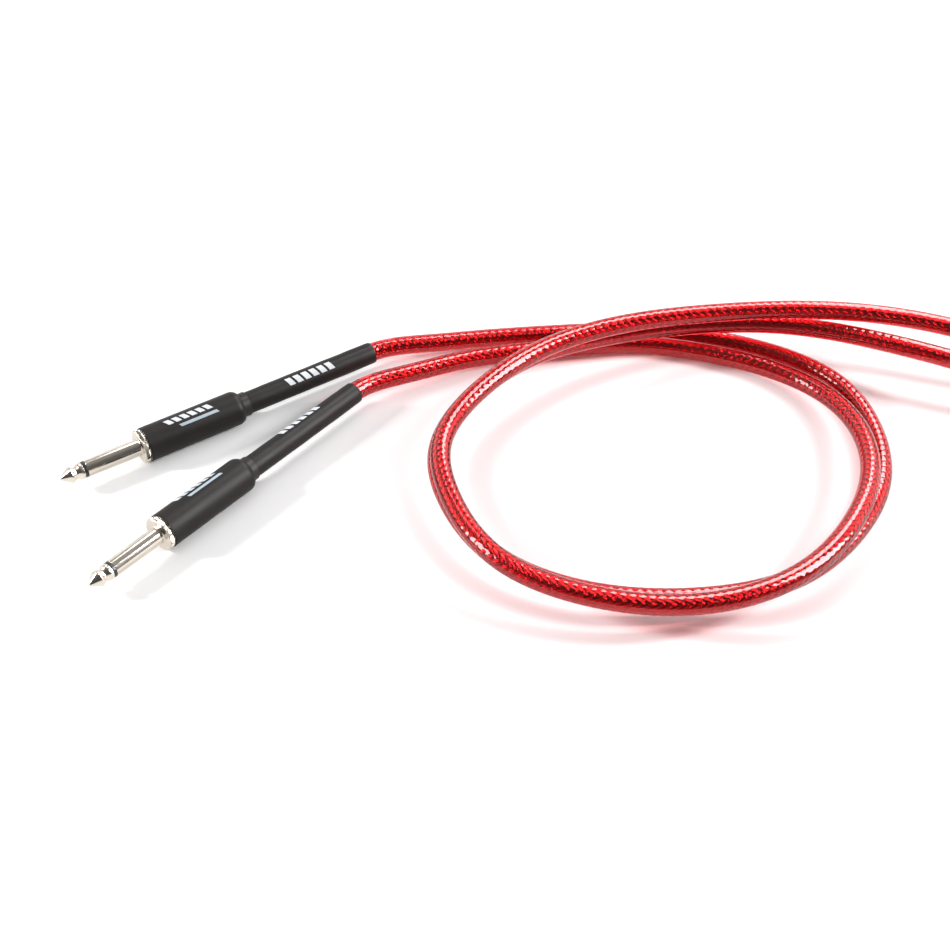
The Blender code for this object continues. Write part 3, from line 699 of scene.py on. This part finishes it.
def uneven_skin(seed, amount, smooth):
    """Small slow waves on a shrunk skin, the same each run."""
    rng = np.random.default_rng(seed)
    waves = []
    for _ in range(9):
        turns = rng.integers(1, 5)
        pace = rng.uniform(0.05, 0.35) / smooth
        turn_start = rng.uniform(0, 6.28)
        pace_start = rng.uniform(0, 6.28)
        waves.append((turns, pace, turn_start, pace_start))

    def shape(radius, along, angle):
        total = sum(
            np.sin(turns * angle + turn_start) * np.sin(pace * along * 2.0 + pace_start)
            for turns, pace, turn_start, pace_start in waves
        )
        return radius + amount * (total / len(waves))
    return shape


def dense(profile, longest):
    """Adds points along a profile's long straight runs."""
    out = []
    for k, point in enumerate(profile):
        following = profile[(k + 1) % len(profile)]
        out.append(point)
        steps = int(math.dist(point, following) / longest)
        for step in range(1, steps):
            t = step / steps
            radius = point[0] + (following[0] - point[0]) * t
            along = point[1] + (following[1] - point[1]) * t
            out.append((radius, along))
    return out


def place(piece, finish, body, node):
    """Finishes a piece of the plug and lets it stand for its CAD node."""
    finish_piece(piece, finish, body)
    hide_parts(node)


def turned_tip(side, matrix):
    """Pointed tip, neck and collar, with the rod that runs back through the plug."""
    profile = [
        (0.0, 0.0, 0.0), (0.32, 0.03, 0.0), (0.62, 0.2, 0.0), (0.85, 0.5, 0.1),
        (3.1, 3.75, 0.35), (3.1, 4.15, 0.3), (2.35, 5.55, 0.5), (2.35, 6.15, 0.5),
        (3.0, 7.1, 0.25), (3.12, 7.5, 0.1), (3.12, 8.6, 0.06), (1.0, 8.6, 0.0),
        (1.0, 43.2, 0.0), (1.6, 43.2, 0.1), (1.6, 43.7, 0.2), (1.1, 43.9, 0.1), (0.0, 43.9, 0.0),
    ]
    piece = lathe(f"turned_tip_{side}", filleted(profile), 96, matrix)
    place(piece, "nickel", f"plug_{side}", f"tip_contact_{side}")


def black_ring(side, matrix):
    """Insulating ring between tip and sleeve, with its tube round the rod."""
    profile = [(1.15, 8.68), (3.1, 8.68), (3.1, 9.85), (2.0, 9.85), (2.0, 33.5), (1.15, 33.5)]
    piece = lathe(f"black_ring_{side}", filleted(profile, 0.05), 96, matrix)
    place(piece, "black_ring", f"plug_{side}", f"tip_insulator_{side}")


def thread_profile():
    """Rings in place of the thread on the boss."""
    profile = []
    start = FLANGE_END + 0.5
    while start + THREAD_PITCH < THREAD_END:
        profile.append((THREAD_ROOT_R, start, 0.03))
        profile.append((THREAD_CREST_R, start + 0.42, 0.03))
        profile.append((THREAD_CREST_R, start + 0.52, 0.03))
        profile.append((THREAD_ROOT_R, start + 0.9, 0.03))
        start += THREAD_PITCH
    return profile


def turned_sleeve(side, matrix):
    """Shaft, knurled flange and threaded boss, turned in one."""
    profile = [
        (2.15, 9.9), (3.175, 9.9, 0.12), (3.175, FLANGE_START - 0.35, 0.3),
        (3.5, FLANGE_START, 0.2), (FLANGE_R - 0.35, FLANGE_START, 0.1),
        (FLANGE_R, FLANGE_START + 0.35, 0.1), (FLANGE_R, FLANGE_END - 0.3, 0.1),
        (FLANGE_R - 0.3, FLANGE_END, 0.1), (THREAD_ROOT_R, FLANGE_END, 0.05),
    ]
    profile += thread_profile()
    profile += [(THREAD_ROOT_R, 39.4, 0.1), (2.9, 39.5, 0.05), (2.9, 33.8, 0.0), (2.15, 33.8, 0.0)]
    teeth = knurl(84, 0.16, FLANGE_START + 0.25, FLANGE_END - 0.2)
    piece = lathe(f"turned_sleeve_{side}", filleted(profile), 504, matrix, teeth)
    place(piece, "nickel", f"plug_{side}", f"sleeve_{side}")


def rear_insulator(side, matrix):
    profile = [(1.15, 34.0), (2.75, 34.0), (2.75, 41.1), (3.6, 41.1), (3.6, 42.0), (1.15, 42.0)]
    piece = lathe(f"rear_bush_insulator_{side}", filleted(profile), 64, matrix)
    place(piece, "black_ring", f"plug_{side}", f"rear_insulator_{side}")


def shrunk_boot(side, matrix):
    """Long heat-shrink sleeve over the cable, with an uneven skin."""
    profile = [
        (3.78, 66.0, 0.0), (BOOT_R, 66.0, 0.1), (BOOT_R, 90.0, 0.0), (BOOT_R + 0.02, 110.0, 0.0),
        (BOOT_R, 124.0, 0.0), (BOOT_R - 0.02, BOOT_END - 1.2, 0.4),
        (BOOT_R - 0.12, BOOT_END, 0.25), (3.78, BOOT_END, 0.1),
    ]
    profile = dense(filleted(profile), 0.8)
    piece = lathe(f"shrunk_boot_{side}", profile, 96, matrix, uneven_skin(3, 0.09, 1.0))
    place(piece, "heat_shrink", f"plug_{side}", f"boot_{side}")


def neck_ring(side, matrix):
    """Small bush seen behind the barrel, with the rim that the barrel holds."""
    profile = [
        (4.52, 69.7, 0.0), (5.3, 69.7), (5.3, 70.6), (NECK_R, 70.6),
        (NECK_R, NECK_END - 0.1, 0.12), (4.52, NECK_END, 0.08),
    ]
    piece = lathe(f"neck_ring_{side}", filleted(profile), 96, matrix)
    place(piece, "neck", f"bush_{side}", f"rear_bush_{side}")


def liner_tube(side, matrix):
    profile = [(5.05, 41.5, 0.0), (5.3, 41.5, 0.0), (5.3, 63.4, 0.0), (5.05, 63.4, 0.0)]
    piece = lathe(f"liner_tube_{side}", filleted(profile), 64, matrix)
    place(piece, "liner", f"liner_{side}", f"liner_{side}")


def turned_shell(side, matrix):
    """Metal barrel with a rounded rear shoulder and a wider bore behind its thread."""
    profile = [(5.15, SHELL_START, 0.1), (SHELL_R, SHELL_START, 0.1)]
    profile += arc(SHOULDER_CENTRE, SHOULDER_R, 0.0, 41.8, 8)
    profile += [(5.15, 72.4, 0.1), (5.15, 70.9, 0.0), (5.5, 70.9, 0.0), (5.5, 39.9, 0.0), (5.15, 39.5, 0.0)]
    piece = lathe(f"turned_shell_{side}", filleted(profile), 96, matrix)
    place(piece, "shell_metal", f"shell_{side}", f"shell_{side}")


def barrel_skin(side, matrix):
    """Heat-shrink over the barrel, following its shoulder."""
    profile = [(6.28, SHELL_START, 0.05), (COVER_R - 0.02, SHELL_START, 0.22)]
    profile += arc(SHOULDER_CENTRE, SHOULDER_R + 0.40, 0.0, 48.0, 12)
    profile += [(5.22, 72.92, 0.15), (5.22, 72.5, 0.05), (5.45, 72.48, 0.0)]
    profile += arc(SHOULDER_CENTRE, SHOULDER_R + 0.08, 40.0, 0.0, 6)
    profile = dense(filleted(profile), 0.8)
    piece = lathe(f"barrel_skin_{side}", profile, 128, matrix, uneven_skin(11, 0.02, 2.0))
    place(piece, "heat_shrink", f"shell_{side}", f"shell_cover_{side}")


def plug(side):
    """All turned, moulded and shrunk pieces of one plug."""
    matrix = plug_matrix(side)
    turned_tip(side, matrix)
    black_ring(side, matrix)
    turned_sleeve(side, matrix)
    rear_insulator(side, matrix)
    shrunk_boot(side, matrix)
    neck_ring(side, matrix)
    liner_tube(side, matrix)
    turned_shell(side, matrix)
    barrel_skin(side, matrix)


def print_mark(name, matrix, radius, outline, finish, body):
    """Plain printed bars wrapped on a round skin. Each bar is (start, end, low angle, high angle, slant)."""
    vertices, faces = [], []
    for start, end, low, high, slant in outline:
        columns = max(2, int((end - start) / 0.7) + 2)
        rows = 8
        first = len(vertices)
        for k in range(columns):
            along = start + (end - start) * k / (columns - 1)
            for r in range(rows):
                share = r / (rows - 1)
                angle = math.radians(low + (high - low) * share)
                depth = along + slant * (share - 0.5)
                vertices.append((radius * math.cos(angle), radius * math.sin(angle), -depth))
        faces += grid_faces(columns, rows, False, first)
    obj = mesh_object(name, vertices, faces)
    obj.matrix_world = matrix
    return finish_piece(obj, finish, body)


def marks(side):
    """Plain bars in place of any lettering: a row and a long one on the barrel, a row on the boot."""
    matrix = plug_matrix(side)
    on_barrel, on_boot = MARK_ANGLES[side]
    row = [(42.5 + 3.2 * k, 44.7 + 3.2 * k, on_barrel + 2.0, on_barrel + 24.0, -1.4) for k in range(6)]
    print_mark(f"barrel_row_{side}", matrix, COVER_R + 0.05, row, "white_print", f"shell_{side}")
    long_bar = [(47.0, 62.5, on_barrel - 19.0, on_barrel - 9.0, -0.8)]
    print_mark(f"barrel_bar_{side}", matrix, COVER_R + 0.05, long_bar, "blue_print", f"shell_{side}")
    row = [(93.0 + 3.5 * k, 95.4 + 3.5 * k, on_boot - 22.0, on_boot + 22.0, -1.2) for k in range(6)]
    print_mark(f"boot_row_{side}", matrix, BOOT_R + 0.13, row, "white_print", f"plug_{side}")


def finish_inner_nodes():
    """Inner pieces keep their CAD shape and get worked finishes."""
    looks = {
        "ground_lug": "brass",
        "tip_lug": "brass",
        "solder_tip": "solder",
        "solder_ground": "solder",
        "shield_tail": "tinned_copper",
        "core_end": "dielectric",
        "conductor_end": "tinned_copper",
    }
    for start, finish in looks.items():
        for side in ("a", "b"):
            node = frame["nodes"][f"{start}_{side}"]
            node.data.materials.clear()
            node.data.materials.append(MATERIALS[finish])


# ---------------------------------------------------------------- table, light and camera
def far_from_middle(nodes):
    """0 near the object, rising to 1 beyond the lit reach of the table."""
    place = nodes.add("ShaderNodeTexCoord")
    reach = nodes.add("ShaderNodeVectorMath", operation="LENGTH")
    nodes.link(place.outputs["Object"], reach.inputs[0])
    return nodes.ramp(reach.outputs["Value"], [(LIT_REACH, grey(0.0)), (LIT_REACH + LIT_FADE, grey(1.0))])


def floor_material():
    """A white table that reflections see darker, as painted shade, and darker still far from the object.

    The braid sees it brighter through the jacket, a painted glow. Far away it glows for the camera, so that
    low views show no grey band at the horizon.
    """
    nodes = new_material("white_floor")
    path = nodes.add("ShaderNodeLightPath")
    mirrored = nodes.math("MAXIMUM", path.outputs["Is Glossy Ray"], path.outputs["Is Transmission Ray"])
    lit = nodes.add("ShaderNodeBsdfPrincipled", Roughness=0.6)
    # painted shade: reflections see the table grey, 0.76 in place of 0.93
    tone = nodes.ramp(path.outputs["Is Glossy Ray"], [(0.0, grey(0.93)), (1.0, (0.76, 0.75, 0.74))])
    nodes.link(tone, lit.inputs["Base Color"])
    # painted light: the table glows for rays that come off the braid through the jacket
    glow = nodes.add("ShaderNodeEmission", Color=WHITE)
    extra = nodes.math("MULTIPLY", nodes.seen_by_braid(path), FLOOR_GLOW_INSIDE)
    nodes.link(nodes.math("MULTIPLY", mirrored, extra), glow.inputs["Strength"])
    near = nodes.add("ShaderNodeAddShader")
    nodes.link(lit.outputs[0], near.inputs[0])
    nodes.link(glow.outputs[0], near.inputs[1])
    far = far_from_middle(nodes)
    # painted shade: far from the object, reflections see a dark table, as if unlit
    beyond = nodes.add("ShaderNodeBsdfDiffuse", Color=(0.16, 0.15, 0.14, 1.0))
    table = nodes.mix(nodes.math("MULTIPLY", far, mirrored), near, beyond)
    horizon = nodes.add("ShaderNodeEmission", Color=WHITE, Strength=1.0)
    at_horizon = nodes.math("MULTIPLY", far, path.outputs["Is Camera Ray"])
    return nodes.finish(nodes.mix(at_horizon, table, horizon))


def white_floor():
    corners = [
        (-FLOOR_HALF, -FLOOR_HALF, 0.0),
        (FLOOR_HALF, -FLOOR_HALF, 0.0),
        (FLOOR_HALF, FLOOR_HALF, 0.0),
        (-FLOOR_HALF, FLOOR_HALF, 0.0),
    ]
    floor = mesh_object("floor", corners, [[0, 1, 2, 3]], scale=1.0)
    floor.location.z = -FLOOR_DROP
    floor.data.materials.append(floor_material())


def soft_light(name, lit, direction, size, radiance, distance=LIGHT_DISTANCE, shape="RECTANGLE"):
    """An area light facing the object, which lights only matt or only glossy surfaces."""
    data = bpy.data.lights.new(name, "AREA")
    data.shape = shape
    data.size, data.size_y = size
    area = size[0] * size[1] * (math.pi / 4.0 if shape == "DISK" else 1.0)
    data.energy = radiance * area * math.pi
    light = bpy.data.objects.new(name, data)
    bpy.context.scene.collection.objects.link(light)
    toward = Vector(direction).normalized()
    light.location = CAMERA_TARGET + toward * distance
    light.rotation_mode = "QUATERNION"
    light.rotation_quaternion = toward.to_track_quat("Z", "Y")
    light.visible_camera = False
    light.visible_diffuse = lit == "matt"
    light.visible_glossy = lit == "glossy"
    light.visible_transmission = lit == "glossy"


def studio_lights():
    """The keys cast the shadows, and the softboxes show only as highlights."""
    soft_light("left_key", "matt", (-0.90, 0.02, 0.43), (0.09, 0.22), 250.0)
    soft_light("right_key", "matt", (0.84, 0.02, 0.54), (0.08, 0.32), 150.0)
    soft_light("left_fill", "matt", (-0.15, -0.15, 1.0), (0.35, 0.35), 0.60, distance=0.27, shape="DISK")
    soft_light("back_softbox", "glossy", (0.35, 0.57, 0.74), (0.46, 0.80), 12.0)
    soft_light("back_left_softbox", "glossy", (-0.26, 0.55, 0.79), (0.20, 0.60), 3.0)
    soft_light("left_softbox", "glossy", (-0.93, -0.06, 0.40), (0.30, 0.80), 14.0)
    soft_light("right_softbox", "glossy", (0.80, -0.05, 0.50), (0.5, 0.9), 18.0)


def reflected_surround(nodes, path):
    """What reflections see: a dark ceiling and front, and a bright low surround behind."""
    coordinates = nodes.add("ShaderNodeTexCoord")
    parts = nodes.add("ShaderNodeSeparateXYZ")
    nodes.link(coordinates.outputs["Generated"], parts.inputs[0])
    depth = nodes.math("MULTIPLY_ADD", parts.outputs["Y"], 0.5, 0.5)
    low = nodes.ramp(parts.outputs["Z"], [
        (0.0, grey(1.0)),
        (0.40, grey(1.0)),
        (0.56, grey(0.06)),
        (1.0, grey(0.0)),
    ])
    behind = nodes.ramp(depth, [
        (0.0, grey(0.0)),
        (0.40, grey(0.06)),
        (0.66, grey(0.8)),
        (1.0, grey(1.0)),
    ])
    toward_back = nodes.ramp(depth, [
        (0.0, grey(0.25)),
        (0.22, grey(0.35)),
        (0.50, grey(1.0)),
    ])
    inside = nodes.seen_by_braid(path)
    bright = nodes.math("MULTIPLY_ADD", inside, SURROUND_BRIGHT_INSIDE - SURROUND_BRIGHT, SURROUND_BRIGHT)
    ceiling = nodes.math("MULTIPLY_ADD", inside, SURROUND_DARK_INSIDE - SURROUND_DARK, SURROUND_DARK)
    dark = nodes.math("MULTIPLY", ceiling, toward_back)
    strength = nodes.math("MULTIPLY_ADD", nodes.math("MULTIPLY", low, behind), bright, dark)
    background = nodes.add("ShaderNodeBackground", Color=WHITE)
    nodes.link(strength, background.inputs["Strength"])
    return background


def studio_world():
    """White for the camera, a softer dome for matt surfaces, and the surround for reflections."""
    world = bpy.data.worlds.new("studio")
    bpy.context.scene.world = world
    world.cycles.sampling_method = "NONE"
    nodes = Nodes(world, "ShaderNodeOutputWorld")
    path = nodes.add("ShaderNodeLightPath")
    dome = nodes.add("ShaderNodeBackground", Color=WHITE)
    level = nodes.math("MULTIPLY_ADD", path.outputs["Is Camera Ray"], 1.0 - DOME, DOME)
    nodes.link(level, dome.inputs["Strength"])
    direct = nodes.math("MAXIMUM", path.outputs["Is Camera Ray"], path.outputs["Is Diffuse Ray"])
    nodes.finish(nodes.mix(direct, reflected_surround(nodes, path), dome))


def camera():
    """Looks down at the middle of the layout from the front."""
    data = bpy.data.cameras.new("camera")
    data.lens = CAMERA_LENS
    data.sensor_width = 36.0
    data.clip_start = 0.01
    data.clip_end = 50.0
    obj = bpy.data.objects.new("camera", data)
    bpy.context.scene.collection.objects.link(obj)
    tilt = math.radians(CAMERA_ELEVATION)
    obj.location = CAMERA_TARGET + Vector((0.0, -math.cos(tilt), math.sin(tilt))) * CAMERA_DISTANCE
    obj.rotation_euler = (math.radians(90.0) - tilt, 0.0, 0.0)
    bpy.context.scene.camera = obj


cable()
for plug_side in ("a", "b"):
    plug(plug_side)
    marks(plug_side)
finish_inner_nodes()
white_floor()
studio_world()
studio_lights()
camera()
bpy.context.scene.view_settings.view_transform = "Standard"
